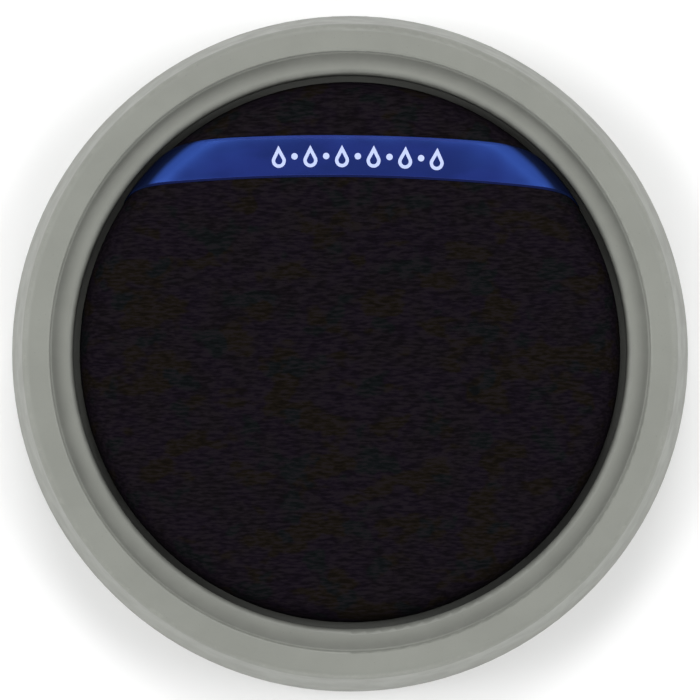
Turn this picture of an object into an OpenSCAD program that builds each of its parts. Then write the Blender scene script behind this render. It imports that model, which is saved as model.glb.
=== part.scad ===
// Round ink pad, open, with its lid stowed in the recess under the case.
// Millimetres, +Z up. The origin is the middle of the foot, on the surface the pad stands on.

/* [Case] */
// Outer diameter at the foot of the case
case_d = 146; // [130:1:180]
// Height of the case, from the foot to the flat band
case_h = 20; // [19:0.5:26]
// Thickness of the moulded walls
wall = 1.8; // [1.4:0.1:2.2]
// How far the flat band stands in from the foot, which gives the side its draft
band_setback = 4.1; // [3:0.1:5]
// Radius of the rounded outer edge of the band
band_edge_r = 1.6; // [1:0.1:2]
// Width of the flat band, from its rounded outer edge to the step
band_w = 4.4; // [4:0.1:6]
// Drop from the band to the ledge that the lid seats on
step_h = 3; // [2.4:0.1:3.4]
// Width of the ledge, from the step to the well
ledge_w = 4.9; // [4.6:0.1:6]
// Height of the floor of the well above the foot
well_floor = 9; // [9:0.1:10]

/* [Pad] */
// Gap all round, from the pad to the wall of the well
pad_gap = 1.4; // [1.2:0.1:2.4]
// Depth of the top of the pad below the band
pad_drop = 0.9; // [0.6:0.1:1.4]
// Radius of the pad's rounded shoulder
shoulder_r = 5.6; // [4:0.1:6]
// Thickness of the woven cover
cloth_t = 0.4; // [0.3:0.05:0.5]
// Width of the hem that is turned under the board
hem_w = 12; // [8:1:16]
// Thickness of the board that the cover is wrapped round
board_t = 1.6; // [1.2:0.1:2]
// Thickness of the felt under the cover
felt_t = 2.4; // [2:0.1:3]

/* [Ribbon] */
// Width of the ribbon
ribbon_w = 9; // [6:0.5:12]
// Thickness of the ribbon
ribbon_t = 0.3; // [0.2:0.05:0.35]
// Distance of the ribbon's centre line from the middle of the pad
ribbon_y = 41.9; // [36:0.1:44]
// Radius of the ribbon's bow, seen from above
ribbon_bow_r = 415; // [350:5:500]
// Angle by which the ribbon dips to the right
ribbon_tilt = 0.6; // [0:0.1:1.5]
// Number of printed drops
drop_count = 6; // [3:1:7]
// Distance from one printed drop to the next
drop_pitch = 6.8; // [6:0.1:7]
// Length of one printed drop
drop_l = 4.8; // [4:0.1:5]
// Diameter of the round end of a printed drop
drop_d = 3; // [2.6:0.1:3.2]
// Distance of the printing's middle to the right of the ribbon's
print_shift = 1.7; // [-3:0.1:3]

/* [Lid] */
// Height of the lid
lid_h = 6; // [5.5:0.1:6.2]
// Thickness of the lid's plate and skirt
lid_t = 1.6; // [1.2:0.1:1.8]
// Gap all round, from the lid to the step and to the stowing collar
lid_gap = 0.4; // [0.3:0.05:0.5]
// Diameter of the paper label
label_d = 96; // [60:1:104]
// Thickness of the paper label
label_t = 0.25; // [0.15:0.05:0.4]

/* [Underside] */
// Number of stiffening ribs round the underside
rib_count = 12; // [6:2:18]
// Thickness of each stiffening rib
rib_t = 1.2; // [1:0.1:1.6]
// Number of finger gaps in the collar that holds the stowed lid
finger_gaps = 4; // [2:1:6]
// Width of each finger gap
finger_w = 22; // [16:1:24]

/* [Hidden] */
$fn = 180;
small_facets = 48; // facets of a printed circle
bow_facets = 1440; // facets of the ribbon's very large bow
over = 1;          // how far a cutter runs past the face that it opens
case_color = [0.576, 0.584, 0.557];

foot_r = case_d / 2;
band_r = foot_r - band_setback;
step_r = band_r - band_w;
well_r = step_r - ledge_w;
ledge_z = case_h - step_h;
step_edge_r = 0.5; // rounding of the band's inner edge
step_foot_r = 0.5; // fillet where the step meets the ledge
lip_r = 1.3;       // rounding of the ledge's inner edge
floor_t = 1.6;
under_floor = well_floor - floor_t;
under_ledge = ledge_z - wall;
well_back_r = well_r + wall;

// The drafted side runs from the foot to where it touches the rounded edge.
edge_centre = [band_r, case_h - band_edge_r];
side_line = edge_centre - [foot_r, 0];
side_angle = atan2(side_line[1], side_line[0]) - asin(band_edge_r / norm(side_line));
side_l = sqrt(pow(norm(side_line), 2) - pow(band_edge_r, 2));
side_top = [foot_r, 0] + side_l * [cos(side_angle), sin(side_angle)];
function side_r(z) = foot_r + z / tan(side_angle);

lid_r = step_r - step_foot_r - lid_gap;
lid_z = 0.4;       // the stowed lid stands this far above the foot
lid_edge_r = 1;
label_margin = 0.5;
label_recess = 1.5 * label_t; // depth of the lid's recess for the label
collar_r = lid_r + lid_gap;
collar_t = 1.4;
collar_z = 1;

pad_r = well_r - pad_gap;
pad_top = case_h - pad_drop;
pad_base = well_floor + 0.4; // the hem is clear of the floor, and only the adhesive meets it
adhesive_t = pad_base + cloth_t - well_floor;
adhesive_margin = 2;
shoulder_start = pad_r - shoulder_r;
hem_r = pad_r - hem_w;
adhesive_r = hem_r - adhesive_margin;
board_base = pad_base + cloth_t;
foam_base = board_base + board_t;
felt_base = pad_top - cloth_t - felt_t;
ink_t = 0.06;      // thickness of the printing
bow_centre = [-ribbon_bow_r * sin(ribbon_tilt), ribbon_y - ribbon_bow_r * cos(ribbon_tilt)];

// A ring about Z, from r0 to r1 and from z0 to z1.
module ring(r0, r1, z0, z1) {
    rotate_extrude() translate([r0, z0]) square([r1 - r0, z1 - z0]);
}

// ---- Case ----

// Half section of the case as if it were a solid block.
module case_block() {
    polygon([[0, 0], [foot_r, 0], side_top, edge_centre, [band_r, case_h], [0, case_h]]);
    translate(edge_centre) circle(band_edge_r);
}

// Corner that is cut away to round an outside edge at [r, z].
module edge_cut(r, z, radius) {
    difference() {
        translate([r - over, z - radius]) square(radius + over);
        translate([r + radius, z - radius]) circle(radius);
        translate([r + radius, z - radius - over]) square(2 * radius + over);
    }
}

// Half section of the space above the ledge and the floor of the well.
module well_space() {
    translate([0, ledge_z]) square([step_r - step_foot_r, step_h + over]);
    translate([0, ledge_z + step_foot_r]) square([step_r, step_h + over]);
    translate([step_r - step_foot_r, ledge_z + step_foot_r]) circle(step_foot_r);
    translate([0, well_floor]) square([well_r, case_h - well_floor]);
    edge_cut(step_r, case_h, step_edge_r);
    edge_cut(well_r, ledge_z, lip_r);
}

// Half section of the hollow under the case.
module under_space() {
    under_band = case_h - wall;
    inner = side_r(0) - wall;
    inner_top = side_r(under_band) - wall;
    polygon([
        [0, -over], [0, under_floor], [well_back_r, under_floor], [well_back_r, under_ledge],
        [step_r + wall, under_ledge], [step_r + wall, under_band], [inner_top, under_band],
        [inner, 0], [inner, -over],
    ]);
}

// One upright rib from the collar to the side wall, in the direction +X.
module under_rib() {
    rib_z = 4;
    bite = wall / 2;
    rotate([90, 0, 0]) translate([0, 0, -rib_t / 2]) linear_extrude(rib_t) polygon([
        [collar_r + bite, rib_z], [side_r(rib_z) - bite, rib_z],
        [side_r(under_ledge + bite) - bite, under_ledge + bite], [collar_r + bite, under_ledge + bite],
    ]);
}

// Ring that holds the stowed lid, with gaps for the fingers.
module stowing_collar() {
    difference() {
        ring(collar_r, collar_r + collar_t, collar_z, under_ledge + wall / 2);
        for (i = [0:finger_gaps - 1]) rotate([0, 0, (i + 0.5) * 360 / finger_gaps])
            translate([collar_r - wall, -finger_w / 2, collar_z - over])
                cube([collar_t + 2 * wall, finger_w, lid_z + lid_h + over]);
    }
}

module tray() {
    color(case_color) {
        rotate_extrude() difference() {
            case_block();
            well_space();
            under_space();
        }
        stowing_collar();
        for (i = [0:rib_count - 1]) rotate([0, 0, i * 360 / rib_count]) under_rib();
    }
}

// ---- Pad ----

// Half section of the wrapped pad, shrunk all round by inset or grown by a negative inset.
module pad_section(inset) {
    low = pad_base + inset;
    centre_z = pad_top - shoulder_r;
    translate([0, low]) square([pad_r - inset, centre_z - low]);
    translate([0, low]) square([shoulder_start, pad_top - inset - low]);
    translate([shoulder_start, centre_z]) intersection() {
        circle(shoulder_r - inset);
        square(2 * shoulder_r);
    }
}

// Thin skin that follows the pad, between two distances outside it.
module pad_skin(near, far) {
    rotate_extrude() difference() {
        pad_section(-far);
        pad_section(-near);
    }
}

// What lies inside the cover between two heights.
module pad_layer(z0, z1) {
    rotate_extrude() intersection() {
        pad_section(cloth_t);
        translate([0, z0]) square([pad_r, z1 - z0]);
    }
}

module adhesive_disc() {
    color([0.86, 0.84, 0.76]) translate([0, 0, well_floor]) cylinder(h = adhesive_t, r = adhesive_r);
}

module backing_board() {
    color([0.62, 0.55, 0.44]) pad_layer(board_base, foam_base);
}

module foam_core() {
    color([0.16, 0.14, 0.17]) pad_layer(foam_base, felt_base);
}

module wick_felt() {
    color([0.12, 0.11, 0.13]) pad_layer(felt_base, pad_top);
}

module pad_cloth() {
    color([0.094, 0.082, 0.098]) rotate_extrude() difference() {
        pad_section(0);
        pad_section(cloth_t);
        translate([0, pad_base - over]) square([hem_r, over + 2 * cloth_t]);
    }
}

// ---- Ribbon ----

module ribbon() {
    height = case_h;
    color([0.157, 0.196, 0.569]) difference() {
        intersection() {
            pad_skin(0, ribbon_t);
            translate(bow_centre) difference() {
                cylinder(h = height, r = ribbon_bow_r + ribbon_w / 2, $fn = bow_facets);
                translate([0, 0, -over])
                    cylinder(h = height + 2 * over, r = ribbon_bow_r - ribbon_w / 2, $fn = bow_facets);
            }
            translate([-foot_r, 0, 0]) cube([case_d, foot_r, height]);
        }
        cylinder(h = board_base, r = hem_r);
    }
}

// A drop with its round end at the origin and its point towards +Y.
module drop(size) {
    radius = size * drop_d / 2;
    root = 0.95 * radius; // a little inside the round end, so that the two shapes cross
    circle(radius, $fn = small_facets);
    polygon([[0, size * drop_l - radius], [root, 0], [-root, 0]]);
}

// One printed shape on top of the ribbon, x along the ribbon's bow from the printing's middle.
module print_at(x) {
    angle = (x + print_shift) / ribbon_bow_r * 180 / PI;
    translate([bow_centre[0], bow_centre[1], pad_top + ribbon_t])
        rotate([0, 0, -angle - ribbon_tilt]) translate([0, ribbon_bow_r, 0]) linear_extrude(ink_t)
            children();
}

module ribbon_print() {
    bubble_d = 1.4;
    hollow = 0.52; // size of the clear middle of a drop, as a share of the drop
    first = -(drop_count - 1) / 2 * drop_pitch;
    color([0.93, 0.93, 0.96]) {
        for (i = [0:drop_count - 1]) print_at(first + i * drop_pitch)
            translate([0, -(drop_l - drop_d) / 2]) difference() {
                drop(1);
                drop(hollow);
            }
        for (i = [0:drop_count - 2]) print_at(first + (i + 0.5) * drop_pitch)
            circle(d = bubble_d, $fn = small_facets);
    }
}

// ---- Lid ----

// The lid is stowed plate down, so its label faces the surface that the pad stands on.
module lid() {
    color(case_color) translate([0, 0, lid_z]) rotate_extrude() difference() {
        union() {
            translate([0, lid_edge_r]) square([lid_r, lid_h - lid_edge_r]);
            square([lid_r - lid_edge_r, lid_h]);
            translate([lid_r - lid_edge_r, lid_edge_r]) circle(lid_edge_r);
        }
        translate([0, lid_t]) square([lid_r - lid_t, lid_h]);
        translate([0, -over]) square([label_d / 2 + label_margin, over + label_recess]);
    }
}

module lid_label() {
    color([0.93, 0.93, 0.9]) translate([0, 0, lid_z + label_recess - label_t])
        cylinder(h = label_t, d = label_d);
}

tray();
adhesive_disc();
backing_board();
foam_core();
wick_felt();
pad_cloth();
ribbon();
ribbon_print();
lid();
lid_label();
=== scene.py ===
"""The looks of a round ink pad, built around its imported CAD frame. Metres, +Z up."""

import math

import bmesh
import bpy
import numpy as np
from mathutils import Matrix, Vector, noise
from mathutils.bvhtree import BVHTree


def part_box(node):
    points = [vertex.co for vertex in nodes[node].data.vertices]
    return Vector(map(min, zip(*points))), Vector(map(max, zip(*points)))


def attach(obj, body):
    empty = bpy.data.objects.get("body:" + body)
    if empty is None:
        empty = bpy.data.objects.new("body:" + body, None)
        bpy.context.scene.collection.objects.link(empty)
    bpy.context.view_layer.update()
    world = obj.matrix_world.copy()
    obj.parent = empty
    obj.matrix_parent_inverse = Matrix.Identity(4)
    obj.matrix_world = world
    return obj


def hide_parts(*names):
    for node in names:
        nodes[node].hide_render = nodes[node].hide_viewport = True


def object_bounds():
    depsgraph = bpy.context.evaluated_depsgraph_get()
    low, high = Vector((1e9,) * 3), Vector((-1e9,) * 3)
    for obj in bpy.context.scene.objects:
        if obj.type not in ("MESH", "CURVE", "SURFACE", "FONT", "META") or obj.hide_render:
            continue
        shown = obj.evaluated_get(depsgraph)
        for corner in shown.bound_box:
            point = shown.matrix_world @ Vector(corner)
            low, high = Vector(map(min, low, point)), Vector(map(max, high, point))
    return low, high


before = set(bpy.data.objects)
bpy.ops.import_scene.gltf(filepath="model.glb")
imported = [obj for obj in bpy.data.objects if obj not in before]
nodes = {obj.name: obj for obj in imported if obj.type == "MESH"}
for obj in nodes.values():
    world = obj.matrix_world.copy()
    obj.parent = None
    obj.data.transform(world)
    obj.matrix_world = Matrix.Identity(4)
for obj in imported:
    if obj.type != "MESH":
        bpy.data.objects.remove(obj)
cad_low, cad_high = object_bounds()

MM = 0.001

# ---- Sizes, from the frame ----

foot_r = cad_high.x
case_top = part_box("tray")[1].z
well_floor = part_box("adhesive_disc")[0].z
lid_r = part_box("lid")[1].x
label_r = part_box("lid_label")[1].x
cloth_low, cloth_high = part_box("pad_cloth")
pad_r = cloth_high.x
pad_top = cloth_high.z
pad_base = cloth_low.z
board_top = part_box("backing_board")[1].z
felt_low, felt_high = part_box("wick_felt")
ribbon_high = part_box("ribbon")[1]
print_low, print_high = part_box("ribbon_print")

# ---- Sizes that the boxes don't give, as in the CAD ----

STEP_R = 64.5 * MM  # where the band drops to the ledge
PAD_GAP = 1.4 * MM  # from the pad to the wall of the well
SHOULDER_R = 5.6 * MM  # the pad's rounded shoulder
HEM_W = 12 * MM

RIBBON_W = 9 * MM
RIBBON_TILT = math.radians(0.6)
BOW_R = 415 * MM  # the ribbon's bow, seen from above
BOW_CENTRE = (
    -BOW_R * math.sin(RIBBON_TILT),
    ribbon_high.y - RIBBON_W / 2 - BOW_R * math.cos(RIBBON_TILT),
)

DROP_COUNT = 6
DROP_PITCH = 6.8 * MM
DROP_L = 4.8 * MM
DROP_D = 3.0 * MM
HOLLOW_SHARE = 0.52  # size of a drop's clear middle
BUBBLE_D = 1.4 * MM

# ---- Sizes of the detailed pieces ----

CROWN = 0.8 * MM  # how far the pad stands higher in the middle
HEM_CORNER_R = 0.8 * MM
CLOTH_T = 0.35 * MM
RIBBON_T = 0.22 * MM
RIBBON_HALF_L = 62 * MM  # from the ribbon's middle to each tail
PRINT_T = 0.05 * MM


# ---- The wrapped pad as a surface ----

class Wrap:
    """The outside of the wrapped pad, which gives the place on it of any point of the cloth's flat cut."""

    def __init__(self, radius, top, base, shoulder, corner, hem):
        self.radius, self.top, self.base = radius, top, base
        self.shoulder, self.corner = shoulder, corner
        # How far it is along the cut, from its middle, to where each stretch starts or ends.
        self.flat_end = radius - shoulder
        self.side_start = self.flat_end + shoulder * math.pi / 2
        self.side_end = self.side_start + (top - shoulder) - (base + corner)
        self.under_start = self.side_end + corner * math.pi / 2
        self.end = self.under_start + hem - corner

    def at(self, s):
        """(radius, height, the normal's radial part, its upward part) at distance s from the cut's middle."""
        if s <= self.flat_end:
            return s, self.top, 0.0, 1.0
        if s <= self.side_start:
            turn = (s - self.flat_end) / self.shoulder
            out, up = math.sin(turn), math.cos(turn)
            height = self.top - self.shoulder + self.shoulder * up
            return self.flat_end + self.shoulder * out, height, out, up
        if s <= self.side_end:
            return self.radius, self.top - self.shoulder - (s - self.side_start), 1.0, 0.0
        if s <= self.under_start:
            turn = (s - self.side_end) / self.corner
            out, up = math.cos(turn), -math.sin(turn)
            inner = self.radius - self.corner
            return inner + self.corner * out, self.base + self.corner * (1 + up), out, up
        return self.radius - self.corner - (s - self.under_start), self.base, 0.0, -1.0

    def point(self, x, y, lift=0.0):
        """(place, outward normal) of the point (x, y) of the flat cut, lifted off the pad."""
        s = math.hypot(x, y)
        r, z, out, up = self.at(s)
        cx, cy = (x / s, y / s) if s > 1e-9 else (1.0, 0.0)
        normal = Vector((cx * out, cy * out, up))
        return Vector((cx * r, cy * r, z)) + normal * lift, normal


pad_wrap = Wrap(pad_r, pad_top - CROWN, pad_base, SHOULDER_R, HEM_CORNER_R, HEM_W)


# ---- Mesh helpers ----

def new_object(name, vertices, faces, smooth=True):
    """A mesh object in the scene, shaded smooth or flat."""
    mesh = bpy.data.meshes.new(name)
    mesh.from_pydata([tuple(v) for v in vertices], [], faces)
    mesh.update()
    obj = bpy.data.objects.new(name, mesh)
    bpy.context.scene.collection.objects.link(obj)
    for face in mesh.polygons:
        face.use_smooth = smooth
    return obj


def apply_modifiers(obj):
    """Puts every modifier's result into the object's own mesh."""
    depsgraph = bpy.context.evaluated_depsgraph_get()
    mesh = bpy.data.meshes.new_from_object(obj.evaluated_get(depsgraph), depsgraph=depsgraph)
    obj.modifiers.clear()
    old, obj.data = obj.data, mesh
    bpy.data.meshes.remove(old)


def grid_faces(rows, columns, wrap_columns=False):
    """The quads of a grid whose vertices run along its rows."""
    last = columns if wrap_columns else columns - 1
    return [
        (
            i * columns + j,
            i * columns + (j + 1) % columns,
            (i + 1) * columns + (j + 1) % columns,
            (i + 1) * columns + j,
        )
        for i in range(rows - 1)
        for j in range(last)
    ]


def face_outward(obj):
    """Makes the normals of a closed mesh consistent and outward."""
    work = bmesh.new()
    work.from_mesh(obj.data)
    bmesh.ops.recalc_face_normals(work, faces=work.faces)
    work.to_mesh(obj.data)
    work.free()


def ripple(x, y, wavelength, seed):
    """A smooth value from about -1 to 1 that varies over the wavelength."""
    return noise.noise(Vector((x / wavelength, y / wavelength, seed)))


def disc_point(u, v):
    """Maps the square from -1 to 1 onto the unit disc, with even cells."""
    if u == 0 and v == 0:
        return 0.0, 0.0
    if abs(u) > abs(v):
        radius, angle = u, math.pi / 4 * v / u
    else:
        radius, angle = v, math.pi / 2 - math.pi / 4 * u / v
    return radius * math.cos(angle), radius * math.sin(angle)


def share_between(value, low, high):
    """How far the value is from low to high, held from 0 to 1."""
    return min(1.0, max(0.0, (value - low) / (high - low)))


# ---- Materials ----

BAND_PER_UNIT = 0.32  # the scale at which a wave texture has about one band to a unit


class Look:
    """A procedural material under construction, in the object's own coordinates."""

    def __init__(self, name, roughness, specular=0.5, **constants):
        self.material = bpy.data.materials.new(name)
        self.material.use_nodes = True
        self.tree = self.material.node_tree
        self.shader = self.tree.nodes["Principled BSDF"]
        self.shader.inputs["Roughness"].default_value = roughness
        self.shader.inputs["Specular IOR Level"].default_value = specular
        for key, value in constants.items():
            self.shader.inputs[key.replace("_", " ")].default_value = value
        self.place = self.add("ShaderNodeTexCoord").outputs["Object"]

    def add(self, kind, inputs=(), **settings):
        """A node with its settings made, and its inputs linked or set by name or place."""
        node = self.tree.nodes.new(kind)
        for key, value in settings.items():
            setattr(node, key, value)
        for key, value in dict(inputs).items():
            if isinstance(value, bpy.types.NodeSocket):
                self.tree.links.new(value, node.inputs[key])
            else:
                node.inputs[key].default_value = value
        return node

    def stretch(self, x, y, z, place=None):
        """Coordinates in which one unit is x, y and z metres long."""
        scale = (1 / x, 1 / y, 1 / z)
        source = self.place if place is None else place
        return self.add("ShaderNodeMapping", {"Vector": source, "Scale": scale}).outputs["Vector"]

    def noise(self, size, detail=3.0, rough=0.5, place=None):
        """Noise from 0 to 1 with features of that size: one length, or one for each axis."""
        sizes = (size, size, size) if isinstance(size, float) else size
        place = self.stretch(*sizes, place=place)
        inputs = {"Vector": place, "Scale": 1.0, "Detail": detail, "Roughness": rough}
        return self.add("ShaderNodeTexNoise", inputs).outputs["Fac"]

    def maths(self, operation, a, b=0.0):
        """One operation on one or two values."""
        return self.add("ShaderNodeMath", {0: a, 1: b}, operation=operation).outputs[0]

    def times(self, first, *others):
        """All the values multiplied."""
        for other in others:
            first = self.maths("MULTIPLY", first, other)
        return first

    def spread(self, value, low, high, to_low=0.0, to_high=1.0):
        """The value, taken from one range to another and held inside it."""
        inputs = {0: value, 1: low, 2: high, 3: to_low, 4: to_high}
        return self.add("ShaderNodeMapRange", inputs, interpolation_type="SMOOTHSTEP").outputs[0]

    def mix(self, factor, a, b):
        """A colour between a and b."""
        node = self.add("ShaderNodeMix", {0: factor}, data_type="RGBA")
        for socket, value in ((node.inputs[6], a), (node.inputs[7], b)):
            if isinstance(value, bpy.types.NodeSocket):
                self.tree.links.new(value, socket)
            else:
                socket.default_value = (*value, 1)
        return node.outputs[2]

    def axis(self, name, place=None):
        """One axis of the coordinates."""
        source = self.place if place is None else place
        return self.add("ShaderNodeSeparateXYZ", {0: source}).outputs[name]

    def radius(self):
        """Distance from the object's Z axis."""
        flat = self.add("ShaderNodeVectorMath", {0: self.place, 1: (1, 1, 0)}, operation="MULTIPLY")
        return self.add("ShaderNodeVectorMath", {0: flat.outputs[0]}, operation="LENGTH").outputs["Value"]

    def bump(self, height, depth, strength=1.0, normal=None):
        """A bump whose height from 0 to 1 is depth metres."""
        inputs = {"Height": height, "Distance": depth, "Strength": strength}
        if normal is not None:
            inputs["Normal"] = normal
        return self.add("ShaderNodeBump", inputs).outputs["Normal"]

    def finish(self, colour=None, roughness=None, normal=None):
        """The material, with what is given linked to its shader."""
        for key, value in (("Base Color", colour), ("Roughness", roughness), ("Normal", normal)):
            if value is not None:
                self.tree.links.new(value, self.shader.inputs[key])
        return self.material


def scaled(colour, share):
    """The colour, darker or lighter."""
    return tuple(min(1, c * share) for c in colour)


def scuffs_at(look, radius, worn_radii):
    """How scuffed a point is, from 0 to 1: broken lines round the worn radii."""
    scuffs = 0.0
    for worn in worn_radii:
        away = look.maths("ABSOLUTE", look.maths("SUBTRACT", radius, worn))
        near = look.spread(away, 0.1 * MM, 0.7 * MM, 1.0, 0.0)
        broken = look.spread(look.noise(2.2 * MM, detail=6.0, rough=0.7), 0.47, 0.66)
        scuffs = look.maths("MAXIMUM", scuffs, look.times(near, broken))
    return scuffs


def shade_well(look, tone, radius, well_r, floor_z, well_shade_z):
    """The tone, with painted shade low in the well round the pad, which starts to fade out at about the
    height well_shade_z.
    """
    # Painted shade: the gap between the pad and the wall of the well is darkened.
    strength, painted_gap_shade = 0.62, (0.036, 0.037, 0.034)
    height = look.axis("Z")
    uneven = look.times(look.noise(3 * MM, detail=3.0), 2 * MM)
    low = look.spread(look.maths("ADD", height, uneven), well_shade_z, well_shade_z + 3.6 * MM, 1.0, 0.0)
    inside = look.spread(radius, well_r + 0.2 * MM, well_r + 1.6 * MM, 1.0, 0.0)
    above_floor = look.spread(height, floor_z - 0.6 * MM, floor_z - 0.2 * MM)
    return look.mix(look.times(low, inside, above_floor, strength), tone, painted_gap_shade)


def shade_ledge_corner(look, tone, radius, start_r, step_r, step_top):
    """The tone, with painted shade on the ledge that grows from start_r towards the step, in the ledge's
    corner.
    """
    painted_corner_shade = (0.030, 0.030, 0.026)
    outward = look.spread(radius, start_r, step_r - 1.0 * MM)
    short_of_step = look.spread(radius, step_r - 0.7 * MM, step_r + 0.3 * MM, 1.0, 0.0)
    below = look.spread(look.axis("Z"), step_top - 0.9 * MM, step_top, 1.0, 0.0)
    patchy = look.spread(look.noise(5 * MM, detail=4.0), 0.25, 0.75, 0.24, 0.34)
    # Painted shade in the corner of the ledge, beside the step.
    return look.mix(look.times(outward, short_of_step, below, patchy), tone, painted_corner_shade)


def moulded_plastic(name, colour, worn_radii, well=None, ledge=None):
    """Satin moulded plastic with faint flow marks, and scuffs at some radii.

    A well is (radius, floor height, height where its painted shade starts to fade). A ledge is (radius where
    its painted shade starts, radius of the step beside it, height of the step's top).
    """
    look = Look(name, 0.45, specular=0.45)
    radius = look.radius()
    flow = look.noise(18 * MM, detail=4.0, rough=0.6)
    tone = look.mix(look.spread(flow, 0.3, 0.7), scaled(colour, 0.955), scaled(colour, 1.045))
    mottle = look.noise(1.6 * MM, detail=3.0)
    tone = look.mix(look.spread(mottle, 0.35, 0.65, 0.0, 0.35), tone, colour)
    speck = look.spread(look.noise(0.5 * MM, detail=1.0), 0.70, 0.78, 0.0, 0.35)
    tone = look.mix(speck, tone, scaled(colour, 0.6))
    scuffs = scuffs_at(look, radius, worn_radii)
    tone = look.mix(look.times(scuffs, 0.4), tone, scaled(colour, 1.3))
    # Painted shade in the well and in the ledge's corner.
    if well:
        tone = shade_well(look, tone, radius, *well)
    if ledge:
        tone = shade_ledge_corner(look, tone, radius, *ledge)
    gloss = look.spread(look.noise(6 * MM, detail=5.0), 0.3, 0.7, 0.40, 0.52)
    rough = look.maths("ADD", gloss, look.times(scuffs, 0.15))
    grain = look.noise(0.28 * MM, detail=2.0)
    normal = look.bump(grain, 0.02 * MM, 0.55)
    normal = look.bump(flow, 0.12 * MM, 0.2, normal)
    return look.finish(tone, rough, normal)


def inked_cloth(name):
    """A near-black cover with a ribbed weave that runs along X, and faint tints of dried ink."""
    look = Look(name, 0.85, specular=0.04)
    ink = (0.0042, 0.0029, 0.0043)
    violet = (0.0046, 0.0028, 0.0058)
    brown = (0.0055, 0.0038, 0.0023)
    teal = (0.0028, 0.0038, 0.0044)
    painted_groove_shade = (0.0010, 0.0008, 0.0010)
    raised_ink = (0.0100, 0.0072, 0.0098)
    picks = look.noise((2.4 * MM, 0.55 * MM, 0.8 * MM), detail=1.0, rough=0.5)
    threads = look.noise((0.9 * MM, 0.3 * MM, 0.4 * MM), detail=1.0)
    ribs = look.maths("ADD", look.times(picks, 0.75), look.times(threads, 0.25))
    tone = look.mix(look.spread(look.noise(7 * MM, detail=3.0, rough=0.6), 0.40, 0.62), violet, ink)
    tone = look.mix(look.spread(look.noise((9 * MM, 6 * MM, 5 * MM), detail=3.0), 0.52, 0.60), tone, brown)
    tone = look.mix(look.spread(look.noise((8 * MM, 7 * MM, 6 * MM), detail=3.0), 0.57, 0.64), tone, teal)
    raised = look.spread(ribs, 0.47, 0.62)
    sunk = look.spread(ribs, 0.36, 0.48, 1.0, 0.0)
    # Painted shade in the weave's sunk grooves.
    tone = look.mix(look.times(sunk, 0.45), tone, painted_groove_shade)
    tone = look.mix(look.times(raised, 0.45), tone, raised_ink)
    rough = look.spread(ribs, 0.35, 0.65, 0.92, 0.70)
    fuzz = look.noise(0.12 * MM, detail=1.0)
    normal = look.bump(ribs, 0.16 * MM, 0.7)
    normal = look.bump(fuzz, 0.02 * MM, 0.4, normal)
    return look.finish(tone, rough, normal)


def satin(name, uv_name, highlight_z, tail_shade_z):
    """Blue satin with floats along it and a selvedge on each side.

    It has a painted shadow along its edge towards -Y, a painted highlight below highlight_z, where it bends
    down, and painted shade below tail_shade_z. The UV map's U runs along it, and its V runs across it from -1
    to 1.
    """
    look = Look(name, 0.4, specular=0.7, Specular_Tint=(0.14, 0.29, 1.0, 1.0))
    sunk, raised = (0.0064, 0.0110, 0.085), (0.0114, 0.0182, 0.134)
    streaked, dulled = (0.0094, 0.0172, 0.125), (0.0040, 0.0080, 0.058)
    edge_violet, edge_shadow = (0.040, 0.028, 0.230), (0.001, 0.001, 0.022)
    painted_highlight, painted_tail_shade = (0.0190, 0.050, 0.245), (0.001, 0.0015, 0.009)

    uv = look.add("ShaderNodeUVMap", uv_map=uv_name).outputs["UV"]
    across = look.axis("Y", uv)
    floats = look.noise((0.0042, 0.022, 1.0), detail=3.0, rough=0.6, place=uv)
    tone = look.mix(look.spread(floats, 0.32, 0.70), sunk, raised)
    streaks = look.noise((0.03, 0.05, 1.0), detail=3.0, place=uv)
    tone = look.mix(look.spread(streaks, 0.35, 0.65, 0.0, 0.4), tone, streaked)
    dull = look.noise((0.30, 1.2, 1.0), detail=2.0, place=uv)
    tone = look.mix(look.spread(dull, 0.40, 0.62, 0.0, 0.5), tone, dulled)

    selvedge = look.spread(look.maths("ABSOLUTE", across), 0.870, 0.890)
    tone = look.mix(look.times(selvedge, 0.4), tone, edge_violet)
    outermost = look.spread(across, -0.905, -0.875, 1.0, 0.0)
    tone = look.mix(look.times(outermost, 0.93), tone, edge_shadow)
    height = look.axis("Z")
    # Painted highlight on the tails, where the ribbon bends down over the pad's shoulder.
    highlight_share = look.spread(height, highlight_z - 0.5 * MM, highlight_z, 0.9, 0.0)
    tone = look.mix(look.times(highlight_share, look.maths("SUBTRACT", 1.0, outermost)), tone, painted_highlight)
    # Painted shade on the steep tails that go down into the gap round the pad.
    tail_shade_share = look.spread(height, tail_shade_z - 1.0 * MM, tail_shade_z, 0.95, 0.0)
    tone = look.mix(tail_shade_share, tone, painted_tail_shade)

    smooth_floats = look.spread(floats, 0.3, 0.7, 0.38, 0.28)
    rough = look.maths("ADD", smooth_floats, look.times(outermost, 0.5))
    picks = look.add(
        "ShaderNodeTexWave",
        {"Vector": look.stretch(0.0035, 1.0, 1.0, uv), "Scale": BAND_PER_UNIT, "Distortion": 0.0},
        wave_type="BANDS", bands_direction="X",
    ).outputs["Fac"]
    normal = look.bump(floats, 0.03 * MM, 0.6)
    normal = look.bump(look.times(picks, selvedge), 0.12 * MM, 0.6, normal)
    return look.finish(tone, rough, normal)


def screen_print(name):
    """White ink printed on satin: slightly thin where the weave stands up."""
    look = Look(name, 0.6, specular=0.3)
    full_ink, thin_ink = (0.46, 0.53, 0.82), (0.30, 0.37, 0.70)
    thin = look.spread(look.noise((0.7 * MM, 0.16 * MM, 1.0), detail=3.0), 0.52, 0.78, 0.0, 0.55)
    tone = look.mix(thin, full_ink, thin_ink)
    normal = look.bump(look.noise((0.5 * MM, 0.14 * MM, 1.0), detail=2.0), 0.02 * MM, 0.6)
    return look.finish(tone, None, normal)


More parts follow.
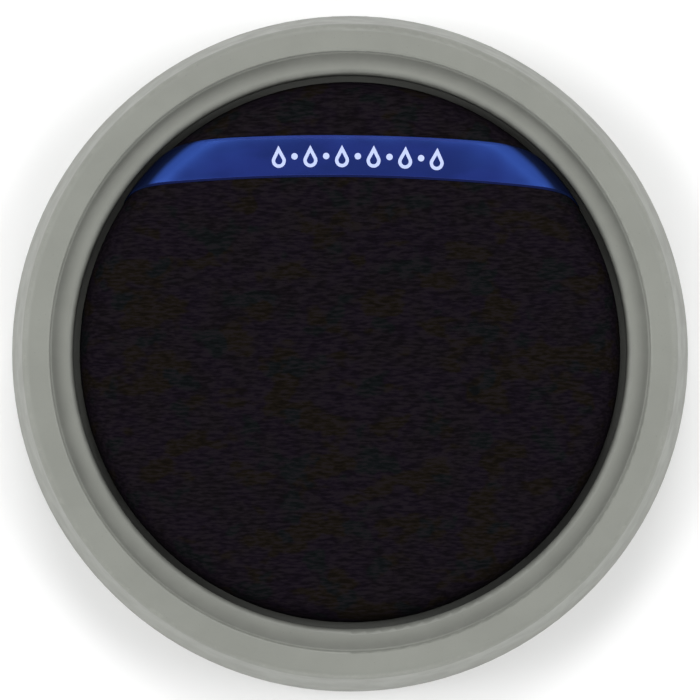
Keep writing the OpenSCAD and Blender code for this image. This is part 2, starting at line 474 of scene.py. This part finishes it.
def fibrous(name, dark, light, fibre, depth):
    """Matted fibres or open cells: felt, foam or board, by the size and stretch of the fibre."""
    look = Look(name, 0.95, specular=0.15)
    strands = look.noise(fibre, detail=5.0, rough=0.65)
    patches = look.noise(9 * MM, detail=3.0)
    tone = look.mix(look.spread(strands, 0.32, 0.68), dark, light)
    tone = look.mix(look.spread(patches, 0.3, 0.7, 0.0, 0.35), tone, dark)
    return look.finish(tone, None, look.bump(strands, depth, 0.8))


def tape(name):
    """Pale double-sided tape with a crossed scrim in it."""
    look = Look(name, 0.35, specular=0.4)
    pitch = 1.6 * MM
    glue, thread = (0.72, 0.69, 0.57), (0.60, 0.56, 0.44)
    lines = [
        look.add(
            "ShaderNodeTexWave",
            {"Vector": look.stretch(pitch, pitch, pitch), "Scale": BAND_PER_UNIT, "Distortion": 0.4},
            wave_type="BANDS", bands_direction=direction,
        ).outputs["Fac"]
        for direction in ("X", "Y")
    ]
    scrim = look.spread(look.maths("MAXIMUM", *lines), 0.75, 0.95)
    tone = look.mix(scrim, glue, thread)
    return look.finish(tone, None, look.bump(scrim, 0.05 * MM, 0.5))


def label_paper(name, radius):
    """A coated paper disc: a swatch of the ink's colour inside two plain rings."""
    look = Look(name, 0.5, specular=0.4)
    grey, swatch, rubbed = (0.30, 0.31, 0.30), (0.014, 0.011, 0.015), (0.62, 0.61, 0.57)
    edge = 0.12 * MM  # how soft the edge of the printing is
    grain = look.noise((0.9 * MM, 0.25 * MM, 0.3 * MM), detail=4.0)
    tone = look.mix(grain, (0.80, 0.80, 0.76), (0.88, 0.88, 0.84))
    away = look.radius()
    # The inner and outer radii are shares of the label's own.
    for inner, outer, colour in ((0.90, 0.93, grey), (0.80, 0.81, grey), (0.0, 0.45, swatch)):
        inside = look.spread(away, outer * radius - edge, outer * radius + edge, 1.0, 0.0)
        if inner:
            past = look.spread(away, inner * radius - edge, inner * radius + edge)
            inside = look.times(inside, past)
        tone = look.mix(inside, tone, colour)
    rub = look.spread(look.noise(4 * MM, detail=8.0, rough=0.7), 0.60, 0.74, 0.0, 0.25)
    tone = look.mix(rub, tone, rubbed)
    return look.finish(tone, look.spread(grain, 0.3, 0.7, 0.42, 0.58), look.bump(grain, 0.015 * MM, 0.4))


def wear(obj, material):
    """Gives the object this material alone."""
    obj.data.materials.clear()
    obj.data.materials.append(material)


# ---- The pad's cover ----

COVER_CELLS = 84
COVER_PRESSURE = 4.0
COVER_FRAMES = 20


def cover_mesh(name, wrap, cells):
    """The cloth as cut, wrapped over the pad and under its board, with gathers where the hem is turned."""
    gathers, gather_depth = 54, 0.12 * MM
    vertices = []
    for i in range(cells + 1):
        for j in range(cells + 1):
            u, v = disc_point(2 * j / cells - 1, 2 * i / cells - 1)
            x, y = u * wrap.end, v * wrap.end
            s, angle = math.hypot(x, y), math.atan2(y, x)
            turned = share_between(s, wrap.side_start, wrap.side_end)
            lift = -gather_depth * turned * (0.5 + 0.5 * math.sin(gathers * angle))
            vertices.append(wrap.point(x, y, lift)[0])
    return new_object(name, vertices, grid_faces(cells + 1, cells + 1))


def inflate(obj, held, pressure, frames, rise):
    """Blows the cloth up with the held vertices fixed, then scales its movement down to the rise."""
    group = obj.vertex_groups.new(name="held")
    group.add(held, 1.0, "REPLACE")
    start = np.array([v.co for v in obj.data.vertices])
    cloth = obj.modifiers.new("cloth", "CLOTH")
    settings = cloth.settings
    settings.effector_weights.gravity = 0
    settings.vertex_group_mass = "held"
    settings.use_pressure = True
    settings.uniform_pressure_force = pressure
    settings.tension_stiffness = settings.compression_stiffness = 40
    settings.bending_stiffness = 2
    settings.quality = 6
    settings.mass = 0.3
    cloth.point_cache.frame_start, cloth.point_cache.frame_end = 1, frames
    for step in range(1, frames + 1):
        bpy.context.scene.frame_set(step)
    apply_modifiers(obj)
    bpy.context.scene.frame_set(1)
    end = np.array([v.co for v in obj.data.vertices])
    move = end - start
    most = float(np.linalg.norm(move, axis=1).max())
    kept = min(most, rise)
    if most > 0:
        move *= kept / most
    for vertex, place in zip(obj.data.vertices, start + move):
        vertex.co = place
    obj.vertex_groups.clear()
    print(f"cover: moved {most / MM:.2f} mm, kept {kept / MM:.2f} mm")


def settle_cover(obj, wrap):
    """Gives the cloth the small waves that it keeps on the foam, and the dent under the tight ribbon."""
    wave, dent = 0.06 * MM, 0.14 * MM
    short_wave, long_wave = 9 * MM, 24 * MM
    lowest = wrap.top - 0.6 * wrap.shoulder  # nothing moves below this
    calm_start = 0.8 * wrap.flat_end  # the waves get weaker from here to the shoulder
    for vertex in obj.data.vertices:
        x, y, z = vertex.co
        if z < lowest:
            continue
        flat_share = 1 - share_between(math.hypot(x, y), calm_start, wrap.flat_end)
        waves = 0.6 * ripple(x, 1.6 * y, short_wave, 3.1) + 0.4 * ripple(x, y, long_wave, 7.7)
        off_line = abs(math.hypot(x - BOW_CENTRE[0], y - BOW_CENTRE[1]) - BOW_R) / RIBBON_W
        pressed = math.exp(-((off_line / 0.62) ** 4))  # 1 under the ribbon, 0 away from it
        vertex.co.z += wave * waves * (0.3 + 0.7 * flat_share) - dent * pressed - wave


def make_cover():
    """The woven cover: wrapped, filled out, settled, and given its thickness."""
    cover = cover_mesh("pad_cover", pad_wrap, COVER_CELLS)
    held = [v.index for v in cover.data.vertices if v.co.z < pad_wrap.top - 0.5 * SHOULDER_R]
    inflate(cover, held, COVER_PRESSURE, COVER_FRAMES, CROWN)
    settle_cover(cover, pad_wrap)
    smoother = cover.modifiers.new("subdivision", "SUBSURF")
    smoother.levels = smoother.render_levels = 1
    thickness = cover.modifiers.new("thickness", "SOLIDIFY")
    thickness.thickness = CLOTH_T
    thickness.offset = -1
    apply_modifiers(cover)
    for face in cover.data.polygons:
        face.use_smooth = True
    wear(cover, inked_cloth("inked_cloth"))
    return cover


# ---- The ribbon and its printing ----

def bow_point(along, across):
    """A point of the flat cut, along the ribbon's bow from its middle and across it towards +Y."""
    angle = math.pi / 2 - RIBBON_TILT - along / BOW_R
    radius = BOW_R + across
    return BOW_CENTRE[0] + radius * math.cos(angle), BOW_CENTRE[1] + radius * math.sin(angle)


class Skin:
    """The outside of a finished piece, as something to lay thinner pieces on."""

    def __init__(self, obj):
        depsgraph = bpy.context.evaluated_depsgraph_get()
        self.tree = BVHTree.FromObject(obj, depsgraph)

    def point(self, x, y, lift):
        """The place over a point of the flat cut, that far off the skin."""
        start_off, reach = 2 * MM, 5 * MM
        place, normal = pad_wrap.point(x, y, start_off)
        hit = self.tree.ray_cast(place, -normal, reach)[0]
        if hit is None:
            return pad_wrap.point(x, y, lift)[0]
        return hit + normal * lift


def ribbon_lift(along, across_share):
    """How far the ribbon's underside stands off the cover: it arches a little, and its edges turn down."""
    clear, arch_h, flutter_h = 0.05 * MM, 0.20 * MM, 0.05 * MM
    arch = arch_h * (1 - abs(across_share) ** 5)
    flutter = flutter_h * ripple(along, across_share * 2 * MM, 14 * MM, 5.5)
    return clear + arch + max(0.0, flutter)


def slab_faces(rows, columns):
    """The faces of a closed slab: its vertices are a grid for the underside, then the same for the top."""
    count = rows * columns
    under = grid_faces(rows, columns)
    faces = [tuple(reversed(face)) for face in under]
    faces += [tuple(v + count for v in face) for face in under]
    rim = (
        [i * columns for i in range(rows)]
        + [(rows - 1) * columns + j for j in range(1, columns)]
        + [i * columns + columns - 1 for i in range(rows - 2, -1, -1)]
        + list(range(columns - 2, 0, -1))
    )
    faces += [(a, b, b + count, a + count) for a, b in zip(rim, rim[1:] + rim[:1])]
    return faces


def make_ribbon(skin, uv_name):
    """The ribbon as a closed strip, laid over the cover, down its sides and under its hem."""
    length_cells, width_cells = 248, 18
    u_per_metre = 20
    vertices, uvs = [], []
    for layer in (0.0, RIBBON_T):
        for i in range(length_cells + 1):
            along = RIBBON_HALF_L * (2 * i / length_cells - 1)
            for j in range(width_cells + 1):
                # Cells are closer together near the edges, where the ribbon turns down.
                share = math.sin(math.pi / 2 * (2 * j / width_cells - 1))
                x, y = bow_point(along, share * RIBBON_W / 2)
                edge_thin = 1 - 0.45 * abs(share) ** 14
                lift = ribbon_lift(along, share) + layer * edge_thin
                vertices.append(skin.point(x, y, lift))
                uvs.append((along * u_per_metre, share))
    ribbon = new_object("satin_ribbon", vertices, slab_faces(length_cells + 1, width_cells + 1))
    uv_layer = ribbon.data.uv_layers.new(name=uv_name)
    for loop in ribbon.data.loops:
        uv_layer.data[loop.index].uv = uvs[loop.vertex_index]
    face_outward(ribbon)
    # The ribbon's painted highlight starts below the first height, its painted shade below the second.
    highlight_z, tail_shade_z = pad_wrap.top + 0.45 * MM, pad_wrap.top - 0.5 * MM
    wear(ribbon, satin("satin", uv_name, highlight_z, tail_shade_z))
    return ribbon


def drop_outline(length, width, points):
    """A drop round the origin, its tip first and towards +across: (along, across) points in order."""
    radius = width / 2
    middle = -(length / 2 - radius)
    tip = length / 2 - middle
    touch = math.asin(radius / tip)
    arc = [math.pi - touch + (math.pi + 2 * touch) * k / (points - 1) for k in range(points)]
    return [(0.0, length / 2)] + [(radius * math.cos(a), middle + radius * math.sin(a)) for a in arc]


def circle_outline(width, points):
    """A circle round the origin: (along, across) points in order."""
    arc = [2 * math.pi * k / points for k in range(points)]
    return [(width / 2 * math.cos(a), width / 2 * math.sin(a)) for a in arc]


def shrunk(outline, share, pivot):
    """The outline made smaller about the point (0, pivot)."""
    return [(share * a, pivot + share * (c - pivot)) for a, c in outline]


def print_band(outer, inner, centre, skin, vertices, faces):
    """Adds a thin raised band of ink between two outlines, or a filled shape where inner is None."""
    low, high = -0.01 * MM, PRINT_T  # it sinks in a little, so that no gap shows

    def put(outline, height):
        first = len(vertices)
        for a, c in outline:
            vertices.append(skin.point(*bow_point(centre + a, c), height))
        return [first + k for k in range(len(outline))]

    loops = [put(outer, low), put(outer, high)]
    if inner is None:
        faces.append(tuple(loops[1]))
        faces.append(tuple(reversed(loops[0])))
    else:
        loops += [put(inner, high), put(inner, low)]
        loops.append(loops[0])
    for lower, upper in zip(loops, loops[1:]):
        for k in range(len(lower)):
            n = (k + 1) % len(lower)
            faces.append((lower[k], lower[n], upper[n], upper[k]))


def make_print(ribbon):
    """A generic row of open drops with small bubbles between them."""
    skin = Skin(ribbon)
    middle = (print_low.x + print_high.x) / 2
    drop = drop_outline(DROP_L, DROP_D, 30)
    hollow = shrunk(drop, HOLLOW_SHARE, -(DROP_L - DROP_D) / 2)
    bubble = circle_outline(BUBBLE_D, 28)
    vertices, faces = [], []
    for i in range(DROP_COUNT):
        centre = middle + (i - (DROP_COUNT - 1) / 2) * DROP_PITCH
        print_band(drop, hollow, centre, skin, vertices, faces)
        if i:
            print_band(bubble, None, centre - DROP_PITCH / 2, skin, vertices, faces)
    printing = new_object("drop_print", vertices, faces, smooth=False)
    face_outward(printing)
    wear(printing, screen_print("print_ink"))
    return printing


# ---- The layers inside the pad ----

def make_layer(name, low, high, radius, edge_r, material, rise=0.0):
    """A soft round slab with rounded, slightly uneven edges and dimpled faces. Its top may be crowned."""
    around, across, up = 120, 22, 8
    dimple_h, uneven_h = 0.06 * MM, 0.10 * MM
    middle, half_h = (high + low) / 2, (high - low) / 2
    edge = min(edge_r, half_h)
    inner = radius - edge
    # Each ring is (radius, height, how much of it faces out, how much of it faces up).
    rings = [(inner * k / across, high, 0.0, 1.0) for k in range(1, across + 1)]
    for k in range(1, up + 1):
        turn = math.pi * k / up
        side = middle + (half_h - edge) * math.cos(turn)
        rings.append((inner + edge * math.sin(turn), side + edge * math.cos(turn), math.sin(turn), 0.0))
    rings += [(inner * k / across, low, 0.0, -1.0) for k in range(across - 1, 0, -1)]
    vertices = []
    for r, z, out, up_share in rings:
        for j in range(around):
            angle = 2 * math.pi * j / around
            x, y = r * math.cos(angle), r * math.sin(angle)
            dimple = dimple_h * (1 + ripple(x, y, 3 * MM, z / MM))
            uneven = uneven_h * (1 + ripple(x, y, 6 * MM, 20 + z / MM))
            scale = (r - uneven * out) / r
            crown = rise * (1 - (r / radius) ** 2) if z > middle else 0.0
            vertices.append((x * scale, y * scale, z + crown - dimple * up_share))
    faces = grid_faces(len(rings), around, wrap_columns=True)
    for first, height in ((0, high), ((len(rings) - 1) * around, low)):
        vertices.append((0, 0, height + (rise if height == high else 0.0)))
        faces += [(first + j, first + (j + 1) % around, len(vertices) - 1) for j in range(around)]
    layer = new_object(name, vertices, faces)
    face_outward(layer)
    wear(layer, material)
    return layer


# ---- Build ----

UV_NAME = "along_and_across"

cover = make_cover()
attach(cover, "tray")
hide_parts("pad_cloth")

ribbon = make_ribbon(Skin(cover), UV_NAME)
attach(ribbon, "tray")
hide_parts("ribbon")

printing = make_print(ribbon)
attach(printing, "tray")
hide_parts("ribbon_print")

felt_fibre = (1.4 * MM, 0.3 * MM, 0.3 * MM)
felt_look = fibrous("inked_felt", (0.006, 0.005, 0.007), (0.022, 0.018, 0.026), felt_fibre, 0.2 * MM)
felt_top = felt_high.z - CROWN - 0.45 * MM  # with its crown it stays just under the cover
felt_r = felt_high.x - 2.4 * MM
felt = make_layer("felt_layer", felt_low.z, felt_top, felt_r, 0.8 * MM, felt_look, CROWN)
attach(felt, "tray")
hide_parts("wick_felt")

foam_look = fibrous("inked_foam", (0.005, 0.004, 0.006), (0.040, 0.032, 0.045), 0.7 * MM, 0.35 * MM)
foam_r = pad_r - 1.3 * MM
foam = make_layer("foam_layer", board_top, felt_low.z, foam_r, 1.4 * MM, foam_look)
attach(foam, "tray")
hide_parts("foam_core")

case_grey = (0.208, 0.215, 0.192)
well_r = pad_r + PAD_GAP
# The well's painted shade starts to fade out from this height.
well_shade_z = 16.4 * MM  # a little below the ledge
well = (well_r, well_floor, well_shade_z)
ledge = (well_r + 0.2 * MM, STEP_R, case_top)
# The scuffs are along both edges of the case's band, and round the lid's edge.
band_edges = (foot_r - 3.1 * MM, STEP_R - 0.1 * MM)
lid_edge = (lid_r - 0.3 * MM,)
wear(nodes["tray"], moulded_plastic("case_plastic", case_grey, band_edges, well, ledge))
wear(nodes["lid"], moulded_plastic("lid_plastic", case_grey, lid_edge))
wear(nodes["lid_label"], label_paper("label_paper", label_r))
wear(nodes["adhesive_disc"], tape("tape"))
board_fibre = (2.5 * MM, 0.35 * MM, 0.12 * MM)
board_look = fibrous("board", (0.26, 0.20, 0.12), (0.42, 0.34, 0.22), board_fibre, 0.05 * MM)
wear(nodes["backing_board"], board_look)


# ---- Floor, light and camera ----

WORLD_STRENGTH = 0.57
# A key from behind, a fill from each side, and low lights for the case's sloping rim:
# (name, place, size, power).
LIGHTS = (
    ("key", (0.0, 0.85, 0.95), 0.5, 4.8),
    ("left_fill", (-0.75, 0.1, 1.0), 0.5, 4.2),
    ("right_fill", (0.75, 0.1, 1.0), 0.5, 3.6),
    ("left_low", (-1.1, 0.0, 0.28), 0.4, 2.6),
    ("right_low", (1.1, 0.0, 0.28), 0.4, 2.2),
    ("front_low", (0.0, -1.1, 0.28), 0.4, 4.0),
)

CAMERA_ELEVATION = math.radians(88.5)
CAMERA_DISTANCE = 3.0
FRAME_PER_CASE = 1.03245  # width of the picture over the width of the case
SENSOR_W = 36


def make_floor():
    """A plain pale floor under the whole scene."""
    half = 2.5
    corners = [(-half, -half, 0), (half, -half, 0), (half, half, 0), (-half, half, 0)]
    floor = new_object("floor", corners, [(0, 1, 2, 3)])
    look = Look("floor", 0.9, specular=0.1)
    grain = look.noise(0.12, detail=2.0)
    wear(floor, look.finish(look.mix(grain, (0.88, 0.88, 0.88), (0.90, 0.90, 0.90))))


def soft_light(name, place, size, power):
    """A square soft box that faces the object's middle."""
    lamp = bpy.data.lights.new(name, "AREA")
    lamp.shape = "SQUARE"
    lamp.size = size
    lamp.energy = power
    obj = bpy.data.objects.new(name, lamp)
    obj.location = place
    obj.rotation_euler = (-Vector(place)).to_track_quat("-Z", "Y").to_euler()
    obj.visible_camera = False
    bpy.context.scene.collection.objects.link(obj)


def make_light():
    """An even white surround and the soft boxes."""
    world = bpy.data.worlds.new("studio")
    world.use_nodes = True
    background = world.node_tree.nodes["Background"]
    background.inputs["Color"].default_value = (1, 1, 1, 1)
    background.inputs["Strength"].default_value = WORLD_STRENGTH
    bpy.context.scene.world = world
    for light in LIGHTS:
        soft_light(*light)
    bpy.context.scene.view_settings.view_transform = "Standard"


def make_camera():
    """Almost straight down, from far enough off that the rim hardly grows towards it."""
    frame_w = 2 * foot_r * FRAME_PER_CASE
    data = bpy.data.cameras.new("camera")
    data.sensor_width = SENSOR_W
    data.lens = SENSOR_W * CAMERA_DISTANCE / frame_w
    data.clip_start = 0.1
    data.clip_end = 20
    camera = bpy.data.objects.new("camera", data)
    target = Vector((0, 0.5 * MM, case_top / 2))
    back = Vector((0, -math.cos(CAMERA_ELEVATION), math.sin(CAMERA_ELEVATION)))
    camera.location = target + back * CAMERA_DISTANCE
    camera.rotation_euler = (-back).to_track_quat("-Z", "Y").to_euler()
    bpy.context.scene.collection.objects.link(camera)
    bpy.context.scene.camera = camera


make_floor()
make_light()
make_camera()
